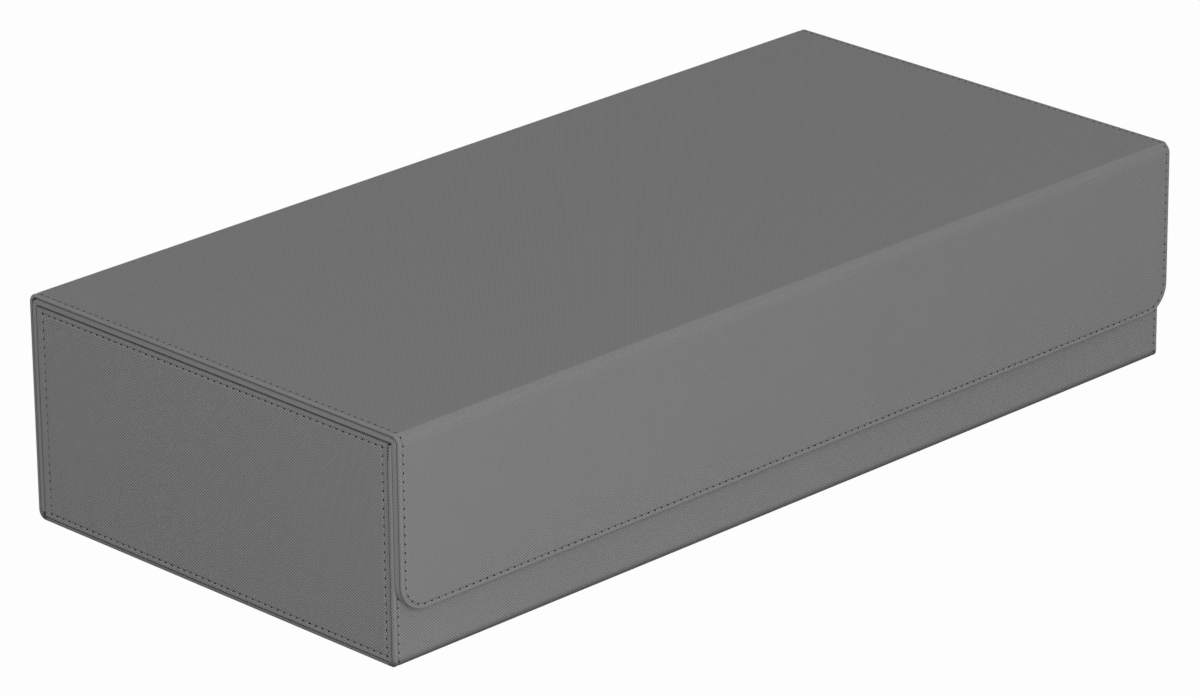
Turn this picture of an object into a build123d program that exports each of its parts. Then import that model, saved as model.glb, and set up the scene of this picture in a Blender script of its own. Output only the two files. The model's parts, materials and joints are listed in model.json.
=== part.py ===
"""Card case covered in leatherette, with a wrap-over lid and a magnetic front flap.

Millimetres. X runs along the case, the front is towards -Y, and Z is up from the table.
The origin is on the table, in the middle of the case.
"""

import os

from build123d import *

# Whole case, with lid and flap closed
case_length = 364.0
case_depth = 176.0
case_height = 80.0

# Covering sheets and the boards inside them
skin_sheet = 0.8
lining_sheet = 0.8
cover_board = 2.0
wall_board = 2.4
floor_board = 2.0

# Bends of the covering, measured on the outside
fold_radius = 3.8
hinge_radius = 3.4
front_base_bend = 2.0
back_base_bend = 3.2
rim_radius = 1.2
edge_round = 0.7
soft_tail = 1.2
bend_tail = 1.0

# Flap
flap_edge_height = 18.9
flap_corner_radius = 10.0

# Clearances
lid_gap = 0.3
flap_gap = 0.3
board_gap = 0.2
slide_gap = 0.3
tray_gap = 0.5

# Magnets of the flap's catch
magnet_diameter = 12.0
magnet_thickness = 1.6
magnet_count = 4
magnet_spacing = 92.0
magnet_from_edge = 12.0

# Inside fittings, with the room that they leave under the closed lid
lift_room = 8.8
bay_wall_thickness = 3.0
tray_bay_width = 70.0
column_count = 3
partition_thickness = 2.4
channel_base = 0.8
channel_lip = 1.2
channel_depth = 3.0

# Accessory tray
tray_height = 40.0
tray_wall = 1.6
tray_corner_radius = 5.0
tray_pocket_count = 3
tray_rim_round = 0.5
tray_foot_round = 1.0
pocket_floor_round = 1.6

# Divider cards
divider_side_gap = 1.1
divider_room = 1.8
divider_thickness = 0.8
divider_corner_radius = 3.0
divider_tab_width = 24.0
divider_tab_height = 5.0

# Thicknesses that follow from the layers
cover = skin_sheet + cover_board + lining_sheet
wall = skin_sheet + wall_board + lining_sheet
skin_edge = skin_sheet + skin_sheet

# Limits along X
half_length = case_length / 2
half_inside = half_length - wall

# Limits along Y
y_flap = -case_depth / 2
y_back = case_depth / 2
y_front = y_flap + cover + flap_gap
y_cover_back = y_back - cover
y_inside_front = y_front + wall
y_inside_back = y_cover_back - wall_board - lining_sheet
y_lid_front = y_flap + fold_radius + soft_tail
y_lid_rear = y_back - hinge_radius - soft_tail

# Levels along Z
z_lid_under = case_height - cover
z_rim = z_lid_under - lid_gap
z_board_top = z_rim - rim_radius
z_flap_top = case_height - fold_radius - soft_tail
z_back_top = case_height - hinge_radius - soft_tail
z_floor_board = skin_sheet + floor_board
z_floor = z_floor_board + lining_sheet

# The left and the right end of the case, as signs along X
both_ends = (-1, 1)


def block(x_span, y_span, z_span):
    """A rectangular board between two limits along each axis."""
    with BuildPart() as board:
        with BuildSketch(Plane.XY.offset(z_span[0])):
            with Locations((sum(x_span) / 2, sum(y_span) / 2)):
                Rectangle(x_span[1] - x_span[0], y_span[1] - y_span[0])
        extrude(amount=z_span[1] - z_span[0])
    return board


def bent_line(points, radii):
    """A line through the points with a round bend at each inner one."""
    if radii:
        return FilletPolyline(*points, radius=radii)
    return Polyline(*points)


def top_edges(edges):
    """The edges across the case that lie highest."""
    return edges.filter_by(Axis.Y).group_by(Axis.Z)[-1]


def bottom_edges(edges):
    """The edges across the case that lie lowest."""
    return edges.filter_by(Axis.Y).group_by(Axis.Z)[0]


def front_edges(edges):
    """The upright edges that lie furthest forward."""
    return edges.filter_by(Axis.Z).group_by(Axis.Y)[0]


def back_edges(edges):
    """The upright edges that lie furthest back."""
    return edges.filter_by(Axis.Z).group_by(Axis.Y)[-1]


def hemmed_sheet(middle, ends, outer):
    """A sheet running along the case, with each end turned in as a hem and its outer edges rounded.

    middle and ends are each (points, radii, thickness): the line of the sheet's outer face as (y, z),
    its bends, and how far the sheet goes to the right of that line. outer picks the edges to round.
    """
    runs = [(-half_inside, half_inside + half_inside, middle)]
    runs += [(-half_length, wall, ends), (half_inside, wall, ends)]
    with BuildPart() as sheet:
        for start, length, (points, radii, thickness) in runs:
            with BuildSketch(Plane.YZ.offset(start)):
                with BuildLine():
                    bent_line(points, radii)
                    offset(amount=thickness, side=Side.RIGHT)
                make_face()
            extrude(amount=length)
        across = outer(sheet.edges()).sort_by(Axis.X)
        fillet([across[0], across[-1]], radius=edge_round)
    return sheet


def soft_corner(arc_centre, radius, corner, reach_y, reach_z, turn):
    """The skin and the lining of a bend that has no board in it.

    turn is 1 where the bend goes round the back and -1 where it goes round the front.
    """
    arc_y, arc_z = arc_centre
    corner_y, corner_z = corner
    outside_y = arc_y + turn * radius
    outside_z = arc_z + radius
    outer = [(reach_y, outside_z), (outside_y, outside_z), (outside_y, reach_z)]
    side = Side.RIGHT if turn > 0 else Side.LEFT
    with BuildPart() as skin:
        with BuildSketch(Plane.YZ.offset(-half_length)):
            with BuildLine():
                FilletPolyline(*outer, radius=radius)
                offset(amount=skin_sheet, side=side)
            make_face()
        extrude(amount=case_length)
        fillet(top_edges(skin.edges()), radius=edge_round)
    with BuildPart() as lining:
        with BuildSketch(Plane.YZ.offset(-half_length)):
            with BuildLine():
                Polyline(
                    (corner_y, corner_z + lining_sheet),
                    (reach_y, corner_z + lining_sheet),
                    (reach_y, corner_z),
                    (corner_y, corner_z),
                    (corner_y, reach_z),
                    (corner_y + turn * lining_sheet, reach_z),
                    (corner_y + turn * lining_sheet, corner_z),
                )
                RadiusArc(
                    (corner_y + turn * lining_sheet, corner_z),
                    (corner_y, corner_z + lining_sheet),
                    -turn * lining_sheet,
                )
            make_face()
        extrude(amount=case_length)
    return skin, lining


def finish(piece, name):
    """Name a finished piece and write it."""
    piece.part.label = name
    export_step(piece.part, f"parts/{name}.step")


os.makedirs("parts", exist_ok=True)

# Base: the skin lies on the table, with hems that carry the end walls
y_base_front = y_front + front_base_bend + bend_tail
y_base_back = y_back - back_base_bend - bend_tail
base_line = [(y_base_back, 0), (y_base_front, 0)]
base_skin = hemmed_sheet((base_line, [], skin_sheet), (base_line, [], skin_edge), bottom_edges)
base_board = block(
    (-half_inside, half_inside), (y_front + front_base_bend, y_cover_back), (skin_sheet, z_floor_board)
)
floor_lining = block(
    (-half_inside, half_inside), (y_inside_front, y_inside_back), (z_floor_board, z_floor)
)

# Front wall: its skin comes up from the base and turns in over the rim
front_turn = [(y_base_front, 0), (y_front, 0), (y_front, z_rim)]
front_over_rim = front_turn + [(y_inside_front, z_rim)]
front_skin = hemmed_sheet(
    (front_over_rim, [front_base_bend, rim_radius], skin_sheet),
    (front_turn, [front_base_bend], skin_edge),
    front_edges,
)

# Magnets sit in holes through the front board and the flap's board, low down on the flap
magnet_height = flap_edge_height + magnet_from_edge
magnet_places = GridLocations(magnet_spacing, 0, magnet_count, 1).locations
magnet_hole_radius = magnet_diameter / 2 + board_gap
y_front_board = y_front + skin_sheet
y_front_lining = y_front_board + wall_board
with BuildPart() as front_board:
    add(
        block((-half_inside, half_inside), (y_front_board, y_front_lining), (z_floor_board, z_board_top)).part
    )
    with BuildSketch(Plane.XZ.offset(-y_front_lining)):
        for place in magnet_places:
            with Locations((place.position.X, magnet_height)):
                Circle(magnet_hole_radius)
    extrude(amount=wall_board, mode=Mode.SUBTRACT)
with BuildPart() as front_magnets:
    with BuildSketch(Plane.XZ.offset(-y_front_board)):
        for place in magnet_places:
            with Locations((place.position.X, magnet_height)):
                Circle(magnet_diameter / 2)
    extrude(amount=-magnet_thickness)
front_lining = block(
    (-half_inside, half_inside), (y_front_lining, y_inside_front), (z_floor_board, z_rim - skin_sheet)
)

# Back of the cover: skin, board and lining, glued to the tray's back wall
back_line = [(y_back, z_back_top), (y_back, 0), (y_base_back, 0)]
back_skin = hemmed_sheet(
    (back_line, [back_base_bend], skin_sheet), (back_line, [back_base_bend], skin_edge), back_edges
)
y_cover_lining = y_cover_back + lining_sheet
back_cover_board = block(
    (board_gap - half_inside, half_inside - board_gap),
    (y_cover_lining, y_back - skin_sheet),
    (back_base_bend, z_back_top),
)
back_cover_line = [(y_cover_back, back_base_bend), (y_cover_back, z_back_top)]
back_cover_lining = hemmed_sheet(
    (back_cover_line, [], lining_sheet), (back_cover_line, [], cover - skin_edge), front_edges
)

# Back wall of the tray: its lining turns over the rim
y_back_board = y_inside_back + lining_sheet
back_wall_board = block(
    (-half_inside, half_inside), (y_back_board, y_cover_back), (z_floor_board, z_board_top)
)
with BuildPart() as back_wall_lining:
    with BuildSketch(Plane.YZ.offset(-half_inside)):
        with BuildLine():
            FilletPolyline(
                (y_inside_back, z_floor_board),
                (y_inside_back, z_rim),
                (y_cover_back, z_rim),
                radius=rim_radius,
            )
            offset(amount=lining_sheet, side=Side.RIGHT)
        make_face()
    extrude(amount=half_inside + half_inside)

# End walls stand on the base's hems, clear of the bend in front and against the back of the cover
y_end_front = y_front + front_base_bend
end_depth = y_cover_back - y_end_front
end_skins, end_boards, end_linings = [], [], []
for end in both_ends:
    side = Side.RIGHT if end < 0 else Side.LEFT
    with BuildPart() as end_skin:
        with BuildSketch(Plane.XZ.offset(-y_end_front)):
            with BuildLine():
                FilletPolyline(
                    (end * half_length, skin_edge),
                    (end * half_length, z_rim),
                    (end * half_inside, z_rim),
                    radius=rim_radius,
                )
                offset(amount=skin_sheet, side=side)
            make_face()
        extrude(amount=-end_depth)
        outer_face = end_skin.faces().filter_by(Axis.X).sort_by(Axis.X)[0 if end < 0 else -1]
        fillet(outer_face.edges().sort_by(Axis.Z)[:-1], radius=edge_round)
    x_board = half_length - skin_sheet
    x_lining = x_board - wall_board
    end_skins.append(end_skin)
    end_boards.append(
        block(sorted((end * x_board, end * x_lining)), (y_end_front, y_cover_back), (skin_edge, z_board_top))
    )
    end_linings.append(
        block(
            sorted((end * x_lining, end * half_inside)),
            (y_end_front, y_cover_back),
            (skin_edge, z_rim - skin_sheet),
        )
    )

# Rear hinge and front fold: skin and lining alone, so they bend
rear_hinge_skin, rear_hinge_lining = soft_corner(
    (y_back - hinge_radius, case_height - hinge_radius),
    hinge_radius,
    (y_cover_back, z_lid_under),
    y_lid_rear,
    z_back_top,
    1,
)
front_fold_skin, front_fold_lining = soft_corner(
    (y_flap + fold_radius, case_height - fold_radius),
    fold_radius,
    (y_flap + cover, z_lid_under),
    y_lid_front,
    z_flap_top,
    -1,
)

# Lid: skin and lining turned in along the ends, with a board between them
lid_top_line = [(y_lid_front, case_height), (y_lid_rear, case_height)]
lid_under_line = [(y_lid_rear, z_lid_under), (y_lid_front, z_lid_under)]
lid_skin = hemmed_sheet((lid_top_line, [], skin_sheet), (lid_top_line, [], skin_edge), top_edges)
lid_lining = hemmed_sheet(
    (lid_under_line, [], lining_sheet), (lid_under_line, [], cover - skin_edge), bottom_edges
)
lid_board = block(
    (board_gap - half_inside, half_inside - board_gap),
    (y_lid_front, y_lid_rear),
    (z_lid_under + lining_sheet, case_height - skin_sheet),
)


def flap_outline(inset):
    """The flap's outline, drawn in by inset at its ends and along its lower edge."""
    half_width = half_length - inset
    lower_edge = flap_edge_height + inset
    corner = flap_corner_radius - inset
    with BuildLine() as outline:
        FilletPolyline(
            (-half_width, z_flap_top),
            (-half_width, lower_edge),
            (half_width, lower_edge),
            (half_width, z_flap_top),
            radius=corner,
        )
        Line((half_width, z_flap_top), (-half_width, z_flap_top))
    return outline.edges()


# Flap: the skin and the lining meet at a seam along the edge, with the board in the pocket between them
y_flap_seam = y_flap + skin_edge
y_flap_board = y_flap + skin_sheet
y_flap_lining = y_flap_board + cover_board
with BuildPart() as flap_skin:
    with BuildSketch(Plane.XZ.offset(-y_flap)):
        make_face(flap_outline(0))
    extrude(amount=-skin_edge)
    with BuildSketch(Plane.XZ.offset(-y_flap_board)):
        make_face(flap_outline(wall))
    extrude(amount=-(skin_edge - skin_sheet), mode=Mode.SUBTRACT)
    fillet(flap_skin.faces().sort_by(Axis.Y)[0].edges().sort_by(Axis.Z)[:-1], radius=edge_round)
with BuildPart() as flap_lining:
    with BuildSketch(Plane.XZ.offset(-y_flap_seam)):
        make_face(flap_outline(0))
    extrude(amount=-(cover - skin_edge))
    with BuildSketch(Plane.XZ.offset(-y_flap_seam)):
        make_face(flap_outline(wall))
    extrude(amount=-(y_flap_lining - y_flap_seam), mode=Mode.SUBTRACT)
with BuildPart() as flap_board:
    with BuildSketch(Plane.XZ.offset(-y_flap_board)):
        make_face(flap_outline(wall + board_gap))
        for place in magnet_places:
            with Locations((place.position.X, magnet_height)):
                Circle(magnet_hole_radius, mode=Mode.SUBTRACT)
    extrude(amount=-cover_board)
with BuildPart() as flap_magnets:
    with BuildSketch(Plane.XZ.offset(-y_flap_lining)):
        for place in magnet_places:
            with Locations((place.position.X, magnet_height)):
                Circle(magnet_diameter / 2)
    extrude(amount=magnet_thickness)

# Cross wall between the card columns and the tray's bay
x_bay = half_inside - tray_bay_width
x_cards = x_bay - bay_wall_thickness
z_inner_top = z_lid_under - lift_room
bay_wall = block((x_cards, x_bay), (y_inside_front, y_inside_back), (z_floor, z_inner_top))

# Partitions stand in channels on the front and back linings and part the card bay into equal columns
card_bay = x_cards + half_inside
column_width = (card_bay - (column_count - 1) * partition_thickness) / column_count
column_pitch = column_width + partition_thickness
partition_places = [
    column_pitch * number - partition_thickness / 2 - half_inside for number in range(1, column_count)
]
column_places = [column_pitch * number + column_width / 2 - half_inside for number in range(column_count)]
slot_width = partition_thickness + slide_gap + slide_gap
channel_width = slot_width + channel_lip + channel_lip
with BuildPart() as partition_channels:
    with BuildSketch(Plane.XY.offset(z_floor)):
        for wall_face, inward in ((y_inside_front, 1), (y_inside_back, -1)):
            for place in partition_places:
                with Locations((place, wall_face + inward * channel_depth / 2)):
                    Rectangle(channel_width, channel_depth)
                with Locations((place, wall_face + inward * (channel_base + channel_depth) / 2)):
                    Rectangle(slot_width, channel_depth - channel_base, mode=Mode.SUBTRACT)
    extrude(amount=z_inner_top - z_floor)
partition_inset = channel_base + slide_gap
partitions = [
    block(
        (place - partition_thickness / 2, place + partition_thickness / 2),
        (y_inside_front + partition_inset, y_inside_back - partition_inset),
        (z_floor, z_inner_top),
    )
    for place in partition_places
]

# Accessory tray: a moulded tray with a row of pockets
tray_width = tray_bay_width - tray_gap - tray_gap
tray_depth = y_inside_back - y_inside_front - tray_gap - tray_gap
tray_middle = ((x_bay + half_inside) / 2, (y_inside_front + y_inside_back) / 2)
pocket_width = tray_width - tray_wall - tray_wall
pocket_pitch = (tray_depth - tray_wall) / tray_pocket_count
pocket_depth = pocket_pitch - tray_wall
with BuildPart() as accessory_tray:
    with BuildSketch(Plane.XY.offset(z_floor)):
        with Locations(tray_middle):
            RectangleRounded(tray_width, tray_depth, tray_corner_radius)
    extrude(amount=tray_height)
    with BuildSketch(Plane.XY.offset(z_floor + tray_wall)):
        with Locations(tray_middle):
            with GridLocations(0, pocket_pitch, 1, tray_pocket_count):
                RectangleRounded(pocket_width, pocket_depth, tray_corner_radius - tray_wall)
    extrude(amount=tray_height, mode=Mode.SUBTRACT)
    levels = accessory_tray.faces().filter_by(Axis.Z).group_by(Axis.Z)
    fillet(levels[0].edges(), radius=tray_foot_round)
    fillet(levels[1].edges(), radius=pocket_floor_round)
    fillet(levels[-1].edges(), radius=tray_rim_round)

# Divider cards: one stands at the back of each column, with its tab further along each time
divider_back = y_inside_back - channel_depth - slide_gap
divider_width = column_width - divider_side_gap - divider_side_gap
divider_height = z_lid_under - divider_room - divider_tab_height - z_floor
tab_step = (divider_width - divider_tab_width) / 2
dividers = []
for number, place in enumerate(column_places):
    tab_place = place + (number - (column_count - 1) / 2) * tab_step * 2 / column_count
    with BuildPart() as divider:
        with BuildSketch(Plane.XZ.offset(-divider_back)):
            with Locations((place, z_floor + divider_height / 2)):
                RectangleRounded(divider_width, divider_height, divider_corner_radius)
            with Locations((tab_place, z_floor + divider_height)):
                RectangleRounded(
                    divider_tab_width, divider_tab_height + divider_tab_height, divider_corner_radius
                )
        extrude(amount=divider_thickness)
    dividers.append(divider)

finish(base_skin, "base_skin")
finish(base_board, "base_board")
finish(floor_lining, "floor_lining")
finish(front_skin, "front_skin")
finish(front_board, "front_board")
finish(front_magnets, "front_magnets")
finish(front_lining, "front_lining")
finish(back_skin, "back_skin")
finish(back_cover_board, "back_cover_board")
finish(back_cover_lining, "back_cover_lining")
finish(back_wall_board, "back_wall_board")
finish(back_wall_lining, "back_wall_lining")
for side_name, skin, board, lining in zip(("left", "right"), end_skins, end_boards, end_linings):
    finish(skin, f"{side_name}_end_skin")
    finish(board, f"{side_name}_end_board")
    finish(lining, f"{side_name}_end_lining")
finish(rear_hinge_skin, "rear_hinge_skin")
finish(rear_hinge_lining, "rear_hinge_lining")
finish(front_fold_skin, "front_fold_skin")
finish(front_fold_lining, "front_fold_lining")
finish(lid_skin, "lid_skin")
finish(lid_board, "lid_board")
finish(lid_lining, "lid_lining")
finish(flap_skin, "flap_skin")
finish(flap_board, "flap_board")
finish(flap_lining, "flap_lining")
finish(flap_magnets, "flap_magnets")
finish(bay_wall, "bay_wall")
finish(partition_channels, "partition_channels")
for number, partition in enumerate(partitions, start=1):
    finish(partition, f"partition_{number}")
finish(accessory_tray, "accessory_tray")
for number, divider in enumerate(dividers, start=1):
    finish(divider, f"divider_{number}")
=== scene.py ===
"""Covering, linings, stitching, finishes and stage of a long card case, built around its packed frame.

Metres, in the frame of the case: X along it, the front towards -Y, Z up from the table.
"""

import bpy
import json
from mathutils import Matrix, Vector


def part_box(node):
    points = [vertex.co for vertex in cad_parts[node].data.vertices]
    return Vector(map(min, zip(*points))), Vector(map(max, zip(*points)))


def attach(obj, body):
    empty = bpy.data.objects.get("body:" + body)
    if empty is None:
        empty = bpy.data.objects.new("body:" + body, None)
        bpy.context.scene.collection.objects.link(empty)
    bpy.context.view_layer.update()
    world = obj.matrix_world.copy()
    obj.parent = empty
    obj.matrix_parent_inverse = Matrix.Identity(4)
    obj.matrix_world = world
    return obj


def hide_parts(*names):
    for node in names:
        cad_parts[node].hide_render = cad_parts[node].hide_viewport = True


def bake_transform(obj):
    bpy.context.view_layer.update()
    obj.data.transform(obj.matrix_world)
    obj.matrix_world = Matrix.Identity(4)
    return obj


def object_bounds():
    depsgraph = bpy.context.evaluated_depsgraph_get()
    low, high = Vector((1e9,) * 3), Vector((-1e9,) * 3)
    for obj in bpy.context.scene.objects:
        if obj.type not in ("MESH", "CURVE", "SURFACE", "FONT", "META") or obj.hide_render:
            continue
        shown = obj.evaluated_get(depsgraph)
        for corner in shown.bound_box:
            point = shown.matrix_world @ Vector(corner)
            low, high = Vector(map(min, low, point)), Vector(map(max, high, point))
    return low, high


bl_info = {
    "name": "Card case",
    "version": (1, 0, 0),
    "blender": (4, 5, 0),
    "location": "View3D > Sidebar > Card Case",
    "description": "Covers, lines and sews a card case around its frame, and sets it on a stage",
    "category": "Add Mesh",
}

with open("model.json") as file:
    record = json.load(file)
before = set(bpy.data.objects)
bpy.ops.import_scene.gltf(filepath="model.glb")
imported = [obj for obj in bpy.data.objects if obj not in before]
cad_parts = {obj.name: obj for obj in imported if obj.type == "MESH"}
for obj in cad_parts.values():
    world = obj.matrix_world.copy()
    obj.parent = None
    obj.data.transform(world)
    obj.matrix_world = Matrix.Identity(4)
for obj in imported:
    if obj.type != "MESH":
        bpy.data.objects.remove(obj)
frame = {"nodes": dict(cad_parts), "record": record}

import json
import math

import bmesh
import bpy
import numpy as np
from bpy.props import FloatProperty, FloatVectorProperty, PointerProperty
from mathutils import Matrix, Vector

QUARTER_TURN = math.pi / 2
SHARP_ANGLE = math.radians(50)
cad_low, cad_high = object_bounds()

# Faces and edges of the frame that the covering follows
half_length = cad_high.x
half_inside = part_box("floor_lining")[1].x
lid_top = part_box("lid_skin")[1].z
lid_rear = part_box("lid_skin")[1].y
lid_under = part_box("lid_lining")[0].z
flap_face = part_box("flap_skin")[0].y
flap_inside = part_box("flap_lining")[1].y
flap_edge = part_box("flap_skin")[0].z
back_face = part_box("back_skin")[1].y
back_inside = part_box("back_cover_lining")[0].y
front_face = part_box("front_skin")[0].y
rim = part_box("front_skin")[1].z
end_low, end_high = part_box("right_end_skin")
base_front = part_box("base_skin")[0].y
base_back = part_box("base_skin")[1].y
skin_edge = lid_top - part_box("lid_skin")[0].z
lining_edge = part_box("lid_lining")[1].z - lid_under
hem_width = half_length - half_inside

# Distances between the points of a mesh, from wide flats down to the smallest bends
wide = 0.008
coarse = 0.006
loose = 0.0025
short = 0.001
medium = 0.0008
gradual = 0.0006
soft = 0.0004
close = 0.0003
tight = 0.0002
fine = 0.00015
finest = 0.0001


def length(label, note, value):
    """A length that a user may change."""
    return FloatProperty(name=label, description=note, default=value, unit="LENGTH", precision=5)


def share(label, note, value):
    """A share of the whole that a user may change."""
    return FloatProperty(name=label, description=note, default=value, subtype="FACTOR", min=0, soft_max=1)


def power(label, note, value):
    """The power of a lamp in watts that a user may change."""
    return FloatProperty(name=label, description=note, default=value, unit="POWER")


def vector(label, note, value):
    """A place or a direction that a user may change."""
    return FloatVectorProperty(name=label, description=note, default=value, subtype="XYZ")


def colour(label, note, grey, tint=(1.0, 1.0, 1.0)):
    """A linear colour that a user may change."""
    shade = [grey * part for part in tint]
    return FloatVectorProperty(
        name=label, description=note, default=shade, subtype="COLOR", min=0.0, max=1.0
    )


class CoverSizes(bpy.types.PropertyGroup):
    """Sizes of the covering sheets and their bends."""

    skin: length("Skin", "Thickness of the leatherette", 0.0008)
    lining: length("Lining", "Thickness of the lining", 0.0008)
    fold_cut: length("Front fold", "How far the fold cuts off the corner between lid and flap", 0.0022)
    fold_crease: length("Fold crease", "Outside radius of the fold at the lid", 0.0017)
    fold_sweep: length("Fold sweep", "Outside radius of the fold at the flap", 0.0036)
    fold_fade: length("Fold fade", "Over which length the ribs fade at the fold", 0.0014)
    hinge_radius: length("Rear hinge", "Outside radius of the bend between back and lid", 0.0034)
    fold_reach: length("Fold reach", "How far from the corner the front fold reaches", 0.0050)
    lining_reach: length("Lining reach", "How far from the fold's corner the lining bends", 0.0012)
    hinge_reach: length("Hinge reach", "How far the hinge's lining reaches over the back's rim", 0.0016)
    inner_fold: length("Inner fold", "Radius of the lining in the corners of the cover", 0.0005)
    front_bend: length("Front base bend", "Radius under the front wall", 0.0020)
    back_bend: length("Back base bend", "Radius under the back", 0.0032)
    # Painted shade near the table fades over this strip, where the rows lie closer.
    foot_strip: length("Foot strip", "Height of the strip above these bends where wear fades", 0.0030)
    rim_radius: length("Rim", "Radius of the skin over the rim of the walls", 0.0009)
    rim_thin: length("Rim thinning", "How far below the rim the front's hems start to thin out", 0.0040)
    rim_mitre: length("Rim mitre", "How far back from its front seam an end panel draws in", 0.0100)
    flap_corner: length("Flap corner", "Radius of the lower corners of the flap", 0.0100)
    roll: length("Roll", "How far from the edge a turned edge rounds off", 0.0006)
    lining_drop: length("Lining drop", "How far down the lining's turned edges round off", 0.0005)
    hem_round: length("Hem rounding", "Rounding of a hem at its under face", 0.0002)
    seam_gap: length("Seam gap", "Room between a hem and its neighbour", 0.0004)
    cut_round: length("Cut edge", "Rounding of an edge that isn't turned in", 0.0002)
    cut_strip: length("Cut strip", "Width of the strip along such an edge", 0.0012)
    lining_round: length("Lining edge", "Rounding of the edges of glued lining", 0.0003)
    lining_strip: length("Lining strip", "Width of the strip along such an edge", 0.0040)
    board_round: length("Board edge", "Rounding of the covered cross boards", 0.0010)


class SewingSizes(bpy.types.PropertyGroup):
    """Sizes of the stitching and the groove that it pulls."""

    inset: length("Inset", "Distance of the stitches from a turned edge", 0.00175)
    panel_foot: length("Panel foot", "Distance of the stitches from an end panel's foot", 0.0016)
    panel_inset: length("Panel inset", "Distance of the stitches from its top and front", 0.0020)
    panel_back: length("Panel back", "Distance of the stitches from its back", 0.0029)
    pitch: length("Pitch", "Distance from needle hole to needle hole", 0.0030)
    thread: length("Thread", "Radius of the sewing thread", 0.00017)
    hole: length("Needle hole", "Radius of a needle hole", 0.00044)
    hole_lift: length("Hole lift", "Height of a needle hole's rim over the groove's floor", 0.0001)
    groove_depth: length("Groove depth", "How deep the stitches pull the skin in", 0.00028)
    groove_width: length("Groove width", "Half width of that groove", 0.00036)


class WearAndShadeSizes(bpy.types.PropertyGroup):
    """How plain the ribs have become, as shares, and how much and how far painted shade darkens seams,
    rims, feet and base.
    """

    hem_plain: share("Plain hems", "How plain the leatherette is along its hems", 0.30)
    lid_plain: share("Plain lid", "How plain it is on the lid", 0.65)
    fold_plain: share("Plain fold", "How plain it is on the front fold", 0.90)
    lining_ribs: share("Lining ribs", "How much the ribs show on the hems of the lining", 0.20)
    # Shares of painted shade: in the seams, on the rims under the lid, and near the table on the feet and
    # base.
    seam: share("Seams", "How far the edges along seams have darkened", 0.32)
    rims: share("Rims", "How far the rims of the end walls have darkened", 0.80)
    feet: share("Feet", "How far the feet of front and back have darkened", 1.00)
    base: share("Base", "How far the base has darkened", 0.24)
    seam_reach: length("Seam reach", "How far from a seam an edge has darkened", 0.0005)
    foot_high: length("Foot height", "Height over the table where the feet start to darken", 0.0036)
    foot_low: length("Foot low", "Height over the table where they are darkest", 0.0002)


class FinishColours(bpy.types.PropertyGroup):
    """Linear colours of the finishes."""

    leatherette: colour("Leatherette", "Covering", 0.155)
    lining: colour("Lining", "Suede inside the cover and the case", 0.160)
    thread: colour("Thread", "Sewing thread", 0.150)
    # The needle holes are dark lenses: painted shade for the inside of a hole.
    hole: colour("Needle hole", "Inside of the needle holes", 0.006)
    board: colour("Board", "Grey board in the walls", 0.250, (1.0, 0.95, 0.87))
    nickel: colour("Nickel", "Magnets", 0.480, (1.0, 0.97, 0.92))
    channel: colour("Channel", "Channels of the partitions", 0.018)
    tray: colour("Tray", "Moulded tray", 0.026)
    divider: colour("Divider", "Divider cards", 0.340, (0.98, 1.0, 1.02))
    floor: colour("Floor", "Floor under the case", 0.200)


class TwillSizes(bpy.types.PropertyGroup):
    """Sizes of the embossed ribs."""

    pitch: length("Rib pitch", "Distance from rib to rib, square to the ribs", 0.000726)
    relief: length("Relief", "Height of the ribs", 0.00015)
    # The ribs' tone is painted shade in their grooves and painted light on their tops.
    contrast: share("Contrast", "How much the ribs differ in tone from top to bottom", 1.20)


class StageSizes(bpy.types.PropertyGroup):
    """The view and the lights."""

    lens: FloatProperty(name="Lens", description="Focal length", default=196.235, unit="CAMERA")
    place: vector("Camera", "Place of the camera", (-1.442474, -1.453612, 0.854169))
    aim: vector("Aim", "Direction of the camera", (0.651869, 0.660504, -0.372560))
    roll: FloatProperty(
        name="Roll",
        description="Turn about the line of sight",
        default=math.radians(-0.566),
        subtype="ANGLE",
    )
    world: share("World", "Strength of the light from all round", 0.374)
    white: share("White floor", "Share of plain white that a view sees", 0.98)
    floor_side: length("Floor", "Half the side of the floor", 4.0)
    floor_drop: length("Floor drop", "Depth of the floor under the case", 0.0002)
    front_light: power("Front light", "Power of the front lamp", 51.2)
    front_place: vector("Front lamp", "Place of the front lamp", (-1.16, -1.66, 0.72))
    front_size: length("Front lamp size", "Side of the front lamp", 1.2)
    back_light: power("Back light", "Power of the back lamp", 28.0)
    back_place: vector("Back lamp", "Place of the back lamp", (-0.4, 2.1, 0.36))
    back_size: length("Back lamp size", "Side of the back lamp", 0.7)
    right_light: power("Right light", "Power of the right lamp", 28.0)
    right_place: vector("Right lamp", "Place of the right lamp", (2.1, -0.2, 0.36))
    right_size: length("Right lamp size", "Side of the right lamp", 0.7)


def settings():
    """The sizes of the cover, of its sewing, and of its wear and painted shade."""
    scene = bpy.context.scene
    return scene.case_sizes, scene.case_sewing, scene.case_wear


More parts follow.
